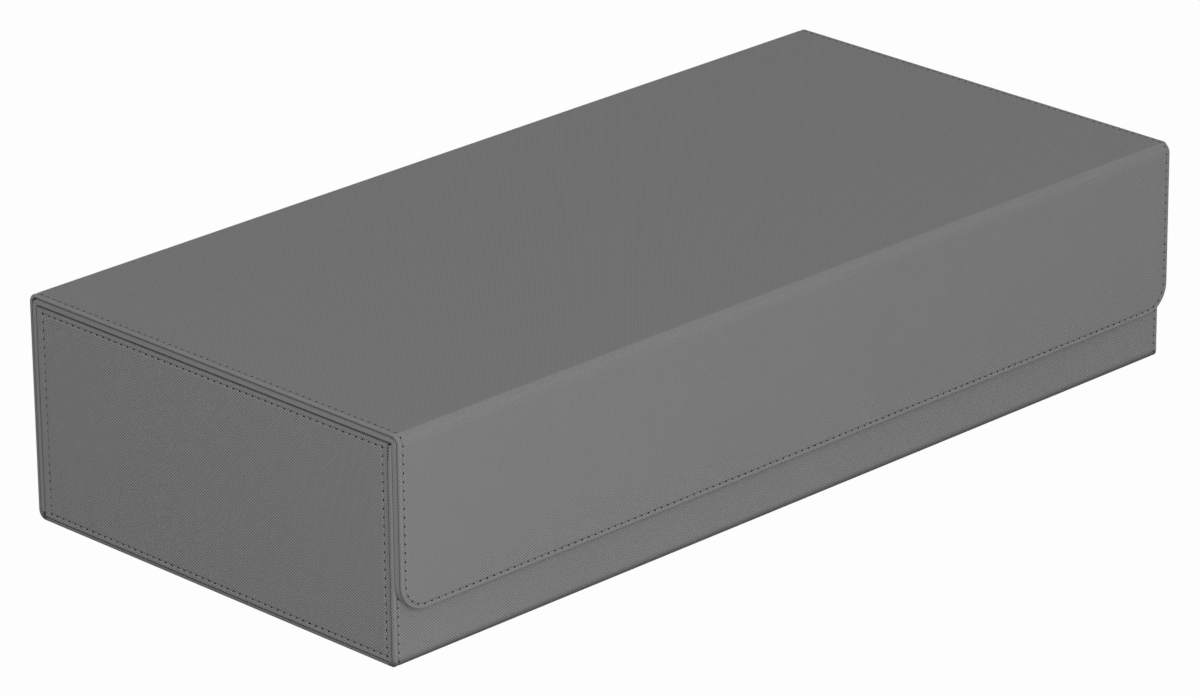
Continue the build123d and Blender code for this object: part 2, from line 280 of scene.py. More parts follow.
class Path:
    """A line of straights and round bends in a plane.

    Each piece has a start, a heading, a curvature and a length. At a distance d into a piece of curvature c
    and heading a, the line has gone d * sinc(c d / 2) in the direction a + c d / 2.
    """

    def __init__(self, corners, radii=()):
        corners = np.array(corners, float)
        steps = np.diff(corners, axis=0)
        spans = np.hypot(steps[:, 0], steps[:, 1])
        headings = np.arctan2(steps[:, 1], steps[:, 0])
        turns = (np.diff(headings) + math.pi) % (2 * math.pi) - math.pi
        radii = np.array(radii, float)
        trims = radii * np.tan(np.abs(turns) / 2)
        count = 2 * len(spans) - 1
        self.lengths = np.empty(count)
        self.lengths[0::2] = spans - np.append(trims, 0) - np.append(0, trims)
        self.lengths[1::2] = radii * np.abs(turns)
        self.curvatures = np.zeros(count)
        self.curvatures[1::2] = np.sign(turns) / radii
        self.headings = np.repeat(headings, 2)[:count]
        self.breaks = np.append(0, np.cumsum(self.lengths))
        self.length = self.breaks[-1]
        ahead = np.stack([np.cos(headings), np.sin(headings)], 1)
        self.starts = np.empty((count, 2))
        self.starts[0::2] = corners[:-1] + np.append(0, trims)[:, None] * ahead
        self.starts[1::2] = corners[1:-1] - trims[:, None] * ahead[:-1]

    def at(self, distance):
        """Points and headings at these distances along the line."""
        piece = np.searchsorted(self.breaks, distance, side="right") - 1
        piece = np.clip(piece, 0, len(self.lengths) - 1)
        into = distance - self.breaks[piece]
        half_turn = self.curvatures[piece] * into / 2
        chord = into * np.sinc(half_turn / math.pi)
        mean = self.headings[piece] + half_turn
        points = self.starts[piece] + chord[..., None] * np.stack([np.cos(mean), np.sin(mean)], -1)
        return points, mean + half_turn


def stations(stops, steps):
    """Places from stop to stop along a line, no further apart than the step of each stretch."""
    spans = [
        np.linspace(start, end, max(1, math.ceil((end - start) / step - 0.01)) + 1)[:-1]
        for start, end, step in zip(stops, stops[1:], steps)
    ]
    return np.concatenate(spans + [[stops[-1]]])


def on_sheet(path, across, distance, height, side=-1):
    """Points of a sheet bent along a path in the YZ plane and running along X.

    height is measured off the path's line, to its right where side is -1 and to its left where it is 1.
    """
    points, heading = path.at(distance)
    y = points[..., 0] - height * side * np.sin(heading)
    z = points[..., 1] + height * side * np.cos(heading)
    return np.stack([across, y, z], -1)


def smoothstep(low, high, value):
    """0 up to low, 1 from high, and a smooth rise between them."""
    part = np.clip((value - low) / (high - low), 0, 1)
    return part * part * (3 - 2 * part)


def bell(offset):
    """1 on a line of stitches, falling off as a bell curve at this offset from it."""
    return np.exp(-((offset / bpy.context.scene.case_sewing.groove_width) ** 2))


class Edge:
    """The edge of a sheet in section, from where the sheet ends to where it lies flat.

    away is the distance in from the edge, height is above the flat, under is the distance in of the sheet's
    other face, plain is 1 where no ribs show, and the fifth is 1 where shade is painted along a seam.
    unrolled is the distance in along the sheet.
    """

    def __init__(self, away, height, under, plain, edge_shade):
        self.away, self.height, self.under, self.plain, self.edge_shade = away, height, under, plain, edge_shade
        steps = np.hypot(np.diff(away), np.diff(height))
        self.unrolled = away[-1] - np.append(np.cumsum(steps[::-1])[::-1], 0)
        self.count = len(away) - 1


def hemmed_edge(thickness, drop=None, stitched=True):
    """An edge that is turned under into a hem, with a groove along its stitches.

    In section it leaves the hem's under face by a small quarter circle, goes up the side, and comes over to
    the face by a quarter of an ellipse, as high as the drop or, without one, as the whole side.
    """
    sizes, sewing, wear_and_shade = settings()
    reach, width, inset = sizes.flap_corner, sizes.roll, sewing.inset
    shade_start = wear_and_shade.seam_reach - thickness
    turn = np.linspace(0, QUARTER_TURN, 9)
    side, low_turn = [shade_start], turn
    if drop is None:
        drop = thickness - sizes.hem_round
        side, low_turn = [], turn[:-1]
    lower = sizes.hem_round * (1 - np.sin(low_turn))
    lower_height = sizes.hem_round * (1 - np.cos(low_turn)) - thickness
    upper = width * (1 - np.cos(turn))
    upper_height = drop * (np.sin(turn) - 1)
    beside = 3 * sewing.groove_width
    flat = stations([width, inset - beside, inset + beside, reach], [close, fine, loose])[1:]
    dip = -sewing.groove_depth * bell(flat - inset) * stitched
    away = np.concatenate([[hem_width, 0.6 * hem_width], lower, np.zeros(len(side)), upper, flat])
    height = np.concatenate([[-thickness, -thickness], lower_height, side, upper_height, dip])
    under = np.linspace(hem_width, reach, len(away))
    plain = np.full(len(away), wear_and_shade.hem_plain)
    # Painted shade in the crease of the seam: the lowest part of the hem's side is darker.
    edge_shade = wear_and_shade.seam * smoothstep(shade_start, sizes.hem_round - thickness, height)
    if side:
        groove = sewing.groove_width
        plain = wear_and_shade.lining_ribs * smoothstep(inset + groove, inset - groove, away)
        # On a lining the rounded edge is darkened as well: painted shade for the seam beside it.
        roll = smoothstep(-drop, -drop / 2, height) * smoothstep(width, width / 2, away)
        edge_shade = np.maximum(edge_shade, roll)
    return Edge(away, height, under, plain, edge_shade)


def cut_edge(rounding, thickness, reach, edge_shade=0.0):
    """An edge cut square and rounded by a quarter circle, with a share of painted shade on its rounding."""
    turn = np.linspace(0, QUARTER_TURN, 7)
    away = np.concatenate([[0], rounding * (1 - np.cos(turn)), [2 * rounding, reach]])
    height = np.concatenate([[-thickness], rounding * (np.sin(turn) - 1), [0, 0]])
    under = np.linspace(0, reach, len(away))
    return Edge(away, height, under, 0 * away, edge_shade * smoothstep(2 * rounding, rounding, away))


class SheetGrid:
    """A grid over a flat sheet with the same edge along both sides and, if it has a foot, round that too.

    Columns run across the sheet and rows along it. ring is the edge's column or row that a point lies on.
    In a corner of the foot, ring k is an arc about the corner's centre with a radius of the corner's less
    the edge's distance in, so the rings meet the straight sides and the straight foot.
    """

    def __init__(self, edge, half_width, rows, foot=None):
        self.half_width, self.rows, self.foot, self.last = half_width, rows, foot, edge.count
        inner = half_width - edge.away[-1]
        self.columns = stations([-inner, inner], [wide])
        side = np.arange(self.last)
        across = np.concatenate([side, np.full(len(self.columns), self.last), side[::-1]])
        down = np.full(len(rows), self.last)
        if foot is not None:
            down = np.append(down, side[::-1])
        self.across, self.down = np.meshgrid(across, down)
        self.ring = np.minimum(self.across, self.down)
        self.sign = np.where(np.arange(len(across)) < len(across) / 2, -1.0, 1.0)[None, :]

    def spread(self, away):
        """Flat places, across and along, of the points when the edge's distances in are these."""
        half_width, last = self.half_width, self.last
        left = away[:last] - half_width
        x = np.concatenate([left, self.columns, -left[::-1]])
        if self.foot is None:
            return np.meshgrid(x, self.rows)
        x, s = np.meshgrid(x, np.append(self.rows, self.foot - away[:last][::-1]))
        radius = away[last]
        corner = (self.across < last) & (self.down < last)
        on_side = self.across <= self.down
        walked = np.where(on_side, last - self.down, last - 2 * self.ring + self.across)
        turn = QUARTER_TURN * walked / np.maximum(2 * (last - self.ring), 1)
        reach = radius - away[self.ring]
        round_x = self.sign * (half_width - radius + reach * np.cos(turn))
        round_s = self.foot - radius + reach * np.sin(turn)
        return np.where(corner, round_x, x), np.where(corner, round_s, s)


def quads(index):
    """Four-sided faces between the neighbours of a grid of vertex numbers."""
    return np.stack([index[:-1, :-1], index[1:, :-1], index[1:, 1:], index[:-1, 1:]], -1).reshape(-1, 4)


def make_piece(name, points, faces, material, uv=None, marks=None, merge=0.0):
    """A mesh object at the origin with its place in its mesh, outward faces and smooth shading.

    marks are values from 0 to 1 at the points, by name, for the material to read.
    """
    mesh = bpy.data.meshes.new(name)
    mesh.from_pydata(points.reshape(-1, 3).tolist(), [], faces)
    if uv is not None:
        layer = mesh.uv_layers.new(name="UVMap")
        corner = np.empty(len(mesh.loops), np.int32)
        mesh.loops.foreach_get("vertex_index", corner)
        layer.data.foreach_set("uv", uv[corner].astype(np.float32).ravel())
    for key, values in (marks or {}).items():
        mark = mesh.attributes.new(key, "FLOAT", "POINT")
        mark.data.foreach_set("value", values.astype(np.float32))
    shell = bmesh.new()
    shell.from_mesh(mesh)
    if merge:
        bmesh.ops.remove_doubles(shell, verts=shell.verts, dist=merge)
    bmesh.ops.recalc_face_normals(shell, faces=shell.faces)
    shell.to_mesh(mesh)
    shell.free()
    mesh.shade_smooth()
    mesh.set_sharp_from_angle(angle=SHARP_ANGLE)
    mesh.materials.append(material)
    piece = bpy.data.objects.new(name, mesh)
    bpy.context.scene.collection.objects.link(piece)
    return piece


def closed_sheet(name, outer, inner, material, uv, plain, edge_shade, foot_shade=0.0):
    """A shell between an outer and an inner grid of points, closed along its four sides.

    It is marked plain where no ribs show, and marked for painted shade along its seams and, by a share,
    close to the table.
    """
    wear_and_shade = bpy.context.scene.case_wear
    top = np.arange(plain.size).reshape(plain.shape)
    under = top + plain.size
    rims = [np.stack([top[line], under[line]]) for line in (0, -1)]
    rims += [np.stack([top[:, line], under[:, line]]) for line in (0, -1)]
    faces = np.concatenate([quads(top), quads(under[::-1])] + [quads(strip) for strip in rims])
    points = np.concatenate([outer.reshape(-1, 3), inner.reshape(-1, 3)])
    # Painted shade, darker towards the table, joined with the painted shade along the seams into one mark.
    foot = foot_shade * smoothstep(wear_and_shade.foot_high, wear_and_shade.foot_low, points[:, 2])
    marks = {"plain": np.tile(plain.ravel(), 2), "worn": np.maximum(np.tile(edge_shade.ravel(), 2), foot)}
    uv = np.tile(np.stack(uv, -1).reshape(-1, 2), (2, 1))
    return make_piece(name, points, faces.tolist(), material, uv, marks)


def bent_sheet(
    name,
    path,
    edge,
    thickness,
    rows,
    material,
    side=-1,
    span=None,
    foot=None,
    plain=None,
    taper=None,
    foot_shade=0.0,
):
    """A sheet bent along a path, with an edge along both sides and, if it has one, round its foot.

    It runs over its span along X, or over the whole case. plain gives how plain it is along the path, and
    taper gives the shares that are left there of its width and of its edges' height.
    """
    start, end = span or (-half_length, half_length)
    middle = (start + end) / 2
    grid = SheetGrid(edge, (end - start) / 2, rows, foot)
    x, s = grid.spread(edge.away)
    x_under, s_under = grid.spread(edge.under)
    width, rise = taper(s) if taper else (1, 1)
    outer = on_sheet(path, middle + x * width, s, edge.height[grid.ring] * rise, side)
    inner = on_sheet(path, middle + x_under * width, s_under, np.full(x.shape, -thickness), side)
    plain_here = edge.plain[grid.ring]
    if plain:
        plain_here = np.maximum(plain_here, plain(s))
    uv = grid.spread(edge.unrolled)
    return closed_sheet(name, outer, inner, material, uv, plain_here, edge.edge_shade[grid.ring], foot_shade)


def rounded_board(name, low, high, rounding, material):
    """A board with round edges: the grid of a ball, pulled apart along each axis to the board's size.

    A point is sign(n) * (half size - rounding) + rounding * n, for each direction n of the ball.
    """
    steps = 5
    quarter = np.linspace(0, QUARTER_TURN, steps)
    turn = np.concatenate([quarter + QUARTER_TURN * part for part in range(4)])
    rise = np.concatenate([quarter - QUARTER_TURN, quarter])
    turn, rise = np.meshgrid(turn, rise)
    ball = np.stack([np.cos(rise) * np.cos(turn), np.sin(rise), np.cos(rise) * np.sin(turn)], -1)
    sign_x = np.repeat([1, -1, -1, 1], steps)
    sign_y = np.repeat([-1, 1], steps)[:, None]
    sign_z = np.repeat([1, 1, -1, -1], steps)
    pull = np.stack(np.broadcast_arrays(sign_x, sign_y, sign_z), -1)
    low, high = np.array(low), np.array(high)
    points = (low + high) / 2 + pull * ((high - low) / 2 - rounding) + rounding * ball
    index = np.arange(turn.size).reshape(turn.shape)
    faces = quads(np.concatenate([index, index[:, :1]], 1)).tolist() + index[[0, -1]].tolist()
    return make_piece(name, points, faces, material, merge=1e-6)


class Wire:
    """A shader socket whose values are combined with Python operators."""

    def __init__(self, shading, socket):
        self.shading, self.socket = shading, socket

    def math(self, operation, other=0.0, other_first=False):
        """A Math node on this value and another."""
        pair = (other, self) if other_first else (self, other)
        values = dict(zip(("Value", "Value_001"), pair))
        return self.shading.node("ShaderNodeMath", {"operation": operation}, values)["Value"]

    def __add__(self, other):
        return self.math("ADD", other)

    __radd__ = __add__

    def __sub__(self, other):
        return self.math("SUBTRACT", other)

    def __rsub__(self, other):
        return self.math("SUBTRACT", other, other_first=True)

    def __mul__(self, other):
        return self.math("MULTIPLY", other)

    __rmul__ = __mul__


class Shading:
    """The node tree of a material or the world, filled by one method."""

    def __init__(self, owner):
        owner.use_nodes = True
        self.tree = owner.node_tree
        self.tree.nodes.clear()

    def node(self, kind, options, values):
        """A node with its options, then its sockets' values or links; returns its outputs by name."""
        made = self.tree.nodes.new(kind)
        for key, value in options.items():
            setattr(made, key, value)
        sockets = {socket.identifier: socket for socket in made.inputs}
        for key, value in values.items():
            if isinstance(value, Wire):
                self.tree.links.new(value.socket, sockets[key])
            else:
                sockets[key].default_value = value
        return {socket.identifier: Wire(self, socket) for socket in made.outputs}

    def noise(self, coords, scale, detail=2.0, rough=0.5):
        """Noise from 0 to 1 at this many features a metre."""
        values = {"Vector": coords, "Scale": scale, "Detail": detail, "Roughness": rough}
        return self.node("ShaderNodeTexNoise", {"noise_dimensions": "3D"}, values)["Fac"]

    def place(self):
        """Place in the piece's own frame."""
        return self.node("ShaderNodeTexCoord", {}, {})["Object"]

    def mark(self, name):
        """A piece's values of this name."""
        return self.node("ShaderNodeAttribute", {"attribute_name": name}, {})["Fac"]

    def tone(self, base, level):
        """The base colour made lighter or darker to a level."""
        values = {"Vector": tuple(base), "Scale": level}
        return self.node("ShaderNodeVectorMath", {"operation": "SCALE"}, values)["Vector"]

    def bump(self, height, distance, strength):
        """A normal bent by a height from 0 to 1."""
        values = {"Height": height, "Distance": distance, "Strength": strength}
        return self.node("ShaderNodeBump", {}, values)["Normal"]

    def surface(self, base, roughness, specular=0.5, others=None):
        """A Principled surface with these sockets."""
        values = {"Base Color": base, "Roughness": roughness, "Specular IOR Level": specular}
        values.update(others or {})
        made = self.node("ShaderNodeBsdfPrincipled", {}, values)["BSDF"]
        self.node("ShaderNodeOutputMaterial", {}, {"Surface": made})


def finish_of(name, build):
    """The material of this name, made once by its function."""
    found = bpy.data.materials.get(name)
    if found is None:
        found = bpy.data.materials.new(name)
        build(Shading(found), bpy.context.scene)
    return found


def crossed_ribs(shading, twill):
    """Two sets of fine ribs at right angles: the mean of two cosines along the sheet's diagonals."""
    sheet = shading.node("ShaderNodeUVMap", {}, {})["UV"]
    split = shading.node("ShaderNodeSeparateXYZ", {}, {"Vector": sheet})
    turns = math.sqrt(2) * math.pi / twill.pitch
    rising = ((split["X"] + split["Y"]) * turns).math("COSINE")
    falling = ((split["X"] - split["Y"]) * turns).math("COSINE")
    return (rising + falling) * 0.25 + 0.5


def leatherette(shading, scene):
    """Matt leatherette with crossed ribs, fainter where marked plain; its colour holds painted shade for
    ribs, fold and marked edges.
    """
    twill = scene.case_twill
    ribs = crossed_ribs(shading, twill)
    plain = shading.mark("plain")
    shown = 1 - plain * 0.9
    # Rises on the front fold only, where the grit grows coarser and the colour is made darker: painted
    # shade that tones down the light the fold catches.
    smooth = (plain - 0.7).math("MAXIMUM", 0.0) * 4
    place = shading.place()
    grain = shading.noise(place, 5200.0, 1.0)
    grit = shading.noise(place, 1500.0, 2.0, 0.6)
    mottle = shading.noise(place, 38.0, 3.0)
    speckle = (grain - 0.5) * 0.14 + (grit - 0.5) * (0.06 + smooth * 0.40)
    # Ribs in the colour: painted shade in the grooves and painted light on their tops.
    level = 1 + (ribs - 0.5) * shown * twill.contrast + (mottle - 0.5) * 0.05 + speckle - smooth * 0.10
    # The painted shade mark darkens the colour by up to three quarters.
    shading.surface(
        shading.tone(scene.case_colours.leatherette, level * (1 - shading.mark("worn") * 0.75)),
        0.72 - ribs * 0.10 + (mottle - 0.5) * 0.06,
        0.12,
        {"Normal": shading.bump(ribs * shown + grain * 0.12, twill.relief, 1.0)},
    )


def suede(shading, scene):
    """Short-napped lining: fine fibres, patches where the nap lies another way, ribs painted on its hems as
    light and shade, and painted shade where marked.
    """
    ribs = crossed_ribs(shading, scene.case_twill)
    hem = shading.mark("plain") * 5
    place = shading.place()
    nap = shading.noise(place, 2600.0, 3.0, 0.7)
    brushed = shading.noise(place, 26.0, 3.0, 0.6)
    # On the lining's hems the ribs are only in the colour, painted shade and light with no relief.
    level = 0.86 + nap * 0.16 + brushed * 0.14 + (ribs - 0.5) * hem
    # The painted shade mark darkens the colour by up to a half.
    shading.surface(
        shading.tone(scene.case_colours.lining, level * (1 - shading.mark("worn") * 0.50)),
        0.90 - (brushed - 0.5) * 0.08,
        0.12,
        {"Sheen Weight": 0.10, "Sheen Roughness": 0.45, "Normal": shading.bump(nap, 0.00012, 0.35)},
    )


def thread(shading, scene):
    """Twisted sewing thread with fine fibres."""
    fibre = shading.noise(shading.place(), 6400.0, 2.0, 0.6)
    tone = shading.tone(scene.case_colours.thread, 0.84 + fibre * 0.32)
    shading.surface(tone, 0.66 + (fibre - 0.5) * 0.2, 0.3, {"Normal": shading.bump(fibre, 0.00005, 0.5)})


def needle_hole(shading, scene):
    """Painted shade for the inside of a needle hole, nearly black."""
    grit = shading.noise(shading.place(), 4000.0)
    shading.surface(shading.tone(scene.case_colours.hole, 0.7 + grit * 0.6), 0.9, 0.0)


def grey_board(shading, scene):
    """Pressed grey board with flecks of paper fibre."""
    place = shading.place()
    fleck = shading.noise(place, 900.0, 4.0, 0.65)
    cloud = shading.noise(place, 60.0, 2.0)
    tone = shading.tone(scene.case_colours.board, 0.72 + fleck * 0.42 + cloud * 0.14)
    shading.surface(tone, 0.86 + (fleck - 0.5) * 0.1, others={"Normal": shading.bump(fleck, 0.0001, 0.4)})


def nickel(shading, scene):
    """Nickel plating with a faint turned grain."""
    haze = shading.noise(shading.place(), 420.0, 3.0)
    tone = shading.tone(scene.case_colours.nickel, 0.94 + haze * 0.12)
    others = {"Metallic": 1.0, "Normal": shading.bump(haze, 0.00003, 0.3)}
    shading.surface(tone, 0.24 + haze * 0.14, others=others)


def moulded(tint, grain_size, roughness):
    """Moulded plastic of a colour, with a spark-eroded grain of this many features a metre."""

    def build(shading, scene):
        place = shading.place()
        grain = shading.noise(place, grain_size, 2.0, 0.55)
        cloud = shading.noise(place, 30.0, 2.0)
        tone = shading.tone(getattr(scene.case_colours, tint), 0.90 + grain * 0.12 + cloud * 0.08)
        normal = shading.bump(grain, 0.00006, 0.45)
        shading.surface(tone, roughness + (grain - 0.5) * 0.18, 0.4, {"Normal": normal})

    return build


def cover_path():
    """The outside of the cover from the rear of the lid to the lower edge of the flap."""
    sizes = bpy.context.scene.case_sizes
    lid_front = (flap_face + sizes.fold_cut, lid_top)
    flap_top = (flap_face, lid_top - sizes.fold_cut)
    corners = [(lid_rear, lid_top), lid_front, flap_top, (flap_face, flap_edge)]
    return Path(corners, [sizes.fold_crease, sizes.fold_sweep])


def cover_lining_path():
    """The inside of the cover from the rear of the lid to the lower edge of the flap."""
    sizes = bpy.context.scene.case_sizes
    rear = back_inside - sizes.hinge_reach
    return Path([(rear, lid_under), (flap_inside, lid_under), (flap_inside, flap_edge)], [sizes.inner_fold])


def hinge_lining_path():
    """The inside of the back from its lower edge up to the hinge, and over the rim to the lid."""
    sizes = bpy.context.scene.case_sizes
    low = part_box("back_cover_lining")[0].z
    front = back_inside - sizes.hinge_reach
    return Path([(back_inside, low), (back_inside, lid_under), (front, lid_under)], [sizes.inner_fold])


def back_path():
    """The outside of the back, from under the case up over the hinge to the lid."""
    sizes = bpy.context.scene.case_sizes
    corners = [(base_back, 0), (back_face, 0), (back_face, lid_top), (lid_rear, lid_top)]
    return Path(corners, [sizes.back_bend, sizes.hinge_radius])


def front_path():
    """The outside of the front wall, from inside its rim down to under the case."""
    sizes = bpy.context.scene.case_sizes
    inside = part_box("front_lining")[1].y
    corners = [(inside, rim), (front_face, rim), (front_face, 0), (base_front, 0)]
    return Path(corners, [sizes.rim_radius, sizes.front_bend])


def end_paths():
    """Both faces of the right end's skin, as X and Z, from its foot up and over its rim."""
    sizes = bpy.context.scene.case_sizes
    inside, under = end_high.x - sizes.skin, rim - sizes.skin
    outer = [(inside, end_low.z), (end_high.x, end_low.z), (end_high.x, rim), (end_low.x, rim)]
    inner = [(inside, end_low.z), (inside, under), (end_low.x, under)]
    return Path(outer, [sizes.cut_round, sizes.rim_radius]), Path(inner, [sizes.rim_radius - sizes.skin])


def panel_stitches():
    """The rectangle of stitches on an end panel: its low and high, front and back lines."""
    sewing = bpy.context.scene.case_sewing
    low = end_low.z + sewing.panel_foot
    high = end_high.z - sewing.panel_inset
    front = end_low.y + sewing.panel_inset
    back = end_high.y - sewing.panel_back
    return low, high, front, back


class CASE_OT_cover_lid(bpy.types.Operator):
    """Cover the lid and the flap with one sheet of leatherette that folds between them"""

    bl_idname = "case.cover_lid"
    bl_label = "Cover the lid and flap"

    def execute(self, context):
        sizes, _, wear_and_shade = settings()
        path = cover_path()
        edge = hemmed_edge(skin_edge - sizes.seam_gap)
        skin = finish_of("twill_leatherette", leatherette)
        start, end, fade = path.breaks[1], path.breaks[4], sizes.fold_fade
        stops = [0, start - fade, end + fade, path.length - sizes.flap_corner]
        rows = stations(stops, [coarse, close, coarse])

        def plain(s):
            fold = smoothstep(start, start + fade, s) * smoothstep(end + fade / 2, end - fade / 2, s)
            return np.maximum(wear_and_shade.fold_plain * fold, wear_and_shade.lid_plain * smoothstep(end, start, s))

        cover = bent_sheet(
            "lid_flap_cover", path, edge, sizes.skin, rows, skin, foot=path.length, plain=plain
        )
        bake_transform(cover)
        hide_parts("lid_skin", "front_fold_skin", "flap_skin")
        return {"FINISHED"}


class CASE_OT_cover_back(bpy.types.Operator):
    """Cover the back with a sheet of leatherette that bends round the hinge to the lid"""

    bl_idname = "case.cover_back"
    bl_label = "Cover the back"

    def execute(self, context):
        sizes, _, wear_and_shade = settings()
        path = back_path()
        edge = hemmed_edge(skin_edge - sizes.seam_gap)
        skin = finish_of("twill_leatherette", leatherette)
        turn = path.breaks
        stops = [0, turn[1], turn[2], turn[2] + sizes.foot_strip, turn[3] - sizes.fold_fade, path.length]
        rows = stations(stops, [short, soft, gradual, coarse, close])
        # The back is painted darker towards the table: painted shade.
        cover = bent_sheet("back_cover", path, edge, sizes.skin, rows, skin, foot_shade=wear_and_shade.feet)
        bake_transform(cover)
        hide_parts("back_skin", "rear_hinge_skin")
        return {"FINISHED"}


class CASE_OT_cover_walls(bpy.types.Operator):
    """Cover the front wall, the two end walls and the base"""

    bl_idname = "case.cover_walls"
    bl_label = "Cover the walls and base"

    def front(self, skin):
        """The front sheet: its hems thin out and its ends draw in to a mitre over the rim."""
        sizes, _, wear_and_shade = settings()
        path = front_path()
        thickness = end_low.y - front_face - sizes.seam_gap
        turn = path.breaks
        stops = [0, turn[1], turn[2], turn[3] - sizes.foot_strip, turn[3], turn[4], turn[5]]
        rows = stations(stops, [short, tight, coarse, gradual, close, short])

        def taper(s):
            back = np.where(s < turn[2], path.at(s)[0][..., 0] - front_face, 0)
            thinned = smoothstep(turn[2] + sizes.rim_thin, turn[2], s)
            return 1 - back / half_length, 1 - (1 - sizes.skin / thickness) * thinned

        edge = hemmed_edge(thickness)
        # The front is painted darker towards the table: painted shade.
        cover = bent_sheet(
            "front_cover", path, edge, sizes.skin, rows, skin, taper=taper, foot_shade=wear_and_shade.feet
        )
        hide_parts("front_skin")
        return cover

    def base(self, skin):
        """The base sheet, which carries the end walls on its hems."""
        sizes, _, wear_and_shade = settings()
        path = Path([(base_front, 0), (base_back, 0)])
        edge = hemmed_edge(skin_edge - sizes.seam_gap, stitched=False)
        rows = stations([0, path.length], [wide])
        # The base, under the case, takes a share of painted shade.
        cover = bent_sheet("base_cover", path, edge, sizes.skin, rows, skin, foot_shade=wear_and_shade.base)
        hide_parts("base_skin")
        return cover

    def end(self, skin, name, sign):
        """An end panel, sewn round its four sides, turned in over the rim and mitred at the front."""
        sizes, sewing, wear_and_shade = settings()
        path, under_path = end_paths()
        edge = cut_edge(sizes.cut_round, sizes.skin, sizes.cut_strip, wear_and_shade.seam)
        turn = path.breaks
        low, high, front, back = panel_stitches()
        beside = 3 * sewing.groove_width
        climb = turn[2] - end_low.z - sizes.cut_round
        sewn = [low + climb + beside, high + climb - beside]
        stops = [0, turn[1], turn[2], *sewn, *turn[3:]]
        rows = stations(stops, [finest, finest, fine, coarse, fine, tight, medium])
        strip = edge.away[-1]
        stops = [end_low.y + strip, front + beside, back - beside, end_high.y - strip]
        columns = stations(stops, [fine, coarse, fine])

        def across(first, middle, last):
            return np.meshgrid(np.concatenate([first[:-1], middle, last[-2::-1]]), rows)[0]

        y = across(end_low.y + edge.away, columns, end_high.y - edge.away)
        s = np.broadcast_to(rows[:, None], y.shape)
        y_under = across(end_low.y + edge.under, columns, end_high.y - edge.under)
        edge_shade = across(edge.edge_shade, 0 * columns, edge.edge_shade)
        points, heading = path.at(s)
        z = points[..., 1]
        upright = s < turn[3]
        beside_y = smoothstep(front - beside, front, y) * smoothstep(back + beside, back, y)
        beside_z = smoothstep(low - beside, low, z) * smoothstep(high + beside, high, z) * upright
        lines_y = np.maximum(bell(y - front), bell(y - back)) * beside_z
        lines_z = np.maximum(bell(z - low), bell(z - high)) * upright * beside_y
        height = across(edge.height, 0 * columns, edge.height)
        height = height - sewing.groove_depth * np.maximum(lines_y, lines_z)
        inward = np.maximum(end_high.x - points[..., 0] - (end_low.y - front_face), 0)
        mitre = np.where(s > turn[3], inward, 0) * smoothstep(front + sizes.rim_mitre, front, y)
        x = points[..., 0] + height * np.sin(heading)
        outer = np.stack([sign * x, y + mitre, z - height * np.cos(heading)], -1)
        under = under_path.at(s * under_path.length / path.length)[0]
        inner = np.stack([sign * under[..., 0], y_under + mitre, under[..., 1]], -1)
        # Painted shade on the panel: along its cut edges, at its foot, and over the rim where the lid
        # closes over it.
        rim_shade = wear_and_shade.rims * smoothstep(turn[3], turn[4], s)
        edge_shade = np.maximum(np.maximum(edge_shade, wear_and_shade.seam * smoothstep(turn[2], turn[1], s)), rim_shade)
        cover = closed_sheet(f"{name}_end_cover", outer, inner, skin, (y, s), 0 * y, edge_shade)
        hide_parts(f"{name}_end_skin")
        return cover

    def execute(self, context):
        skin = finish_of("twill_leatherette", leatherette)
        covers = [self.front(skin), self.base(skin)]
        covers += [self.end(skin, name, sign) for name, sign in (("left", -1), ("right", 1))]
        for cover in covers:
            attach(cover, "case")
        return {"FINISHED"}


class CASE_OT_line_cover(bpy.types.Operator):
    """Line the lid, the flap and the rear hinge"""

    bl_idname = "case.line_cover"
    bl_label = "Line the cover"

    def execute(self, context):
        sizes = context.scene.case_sizes
        lining = finish_of("suede", suede)
        edge = hemmed_edge(lining_edge, sizes.lining_drop)
        reach = 2 * sizes.lining_reach

        path = cover_lining_path()
        start, end = path.breaks[1:3]
        stops = [0, start - reach, start, end, end + reach, path.length - sizes.flap_corner]
        rows = stations(stops, [coarse, fine, finest, fine, coarse])
        inside = bent_sheet(
            "lid_flap_lining", path, edge, sizes.lining, rows, lining, side=1, foot=path.length
        )
        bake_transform(inside)
        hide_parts("lid_lining", "front_fold_lining", "flap_lining")

        path = hinge_lining_path()
        start, end = path.breaks[1:3]
        rows = stations([0, start - reach, start, end, path.length], [coarse, soft, finest, fine])
        hinge = bent_sheet("hinge_lining", path, edge, sizes.lining, rows, lining, side=1)
        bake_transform(hinge)
        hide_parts("back_cover_lining", "rear_hinge_lining")
        return {"FINISHED"}


